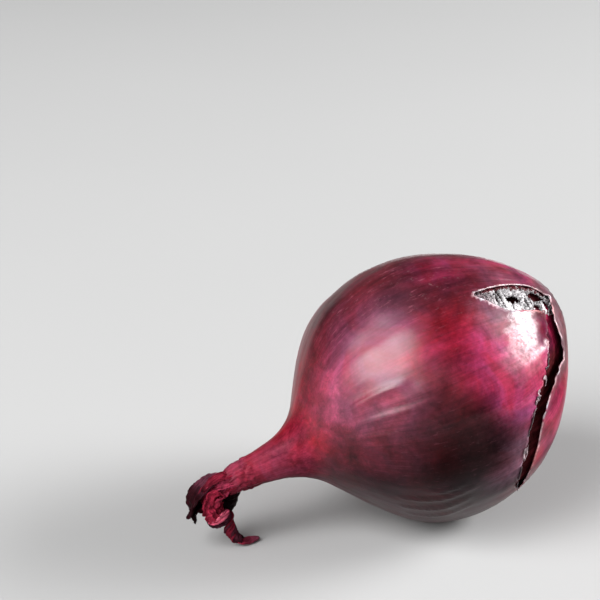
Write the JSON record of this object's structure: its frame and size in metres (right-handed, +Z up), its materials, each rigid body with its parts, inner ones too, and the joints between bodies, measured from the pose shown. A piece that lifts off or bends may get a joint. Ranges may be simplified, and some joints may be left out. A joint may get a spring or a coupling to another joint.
{
  "type": "red onion",
  "caption": "Whole red onion lying on its side: round bulb in glossy torn skin, long neck, twisted dried tail and a small root tuft.",
  "frame": {"origin": "middle of the small flat spot under the bulb, on the surface that the onion lies on", "axes": "+X along the onion's length, from the tail to the root end; +Y to its left side; +Z up"},
  "size_m": [0.1096, 0.0733, 0.0728],
  "materials": {
    "skin": "glossy, thin and papery, dark crimson with streaks",
    "bulb": "satin inner layer, dried leaves of the tail",
    "roots": "dry, matte"
  },
  "bodies": {
    "root": {"bulb": "bulb", "outer_skin": "skin", "root_tuft": "roots"}
  },
  "joints": []
}
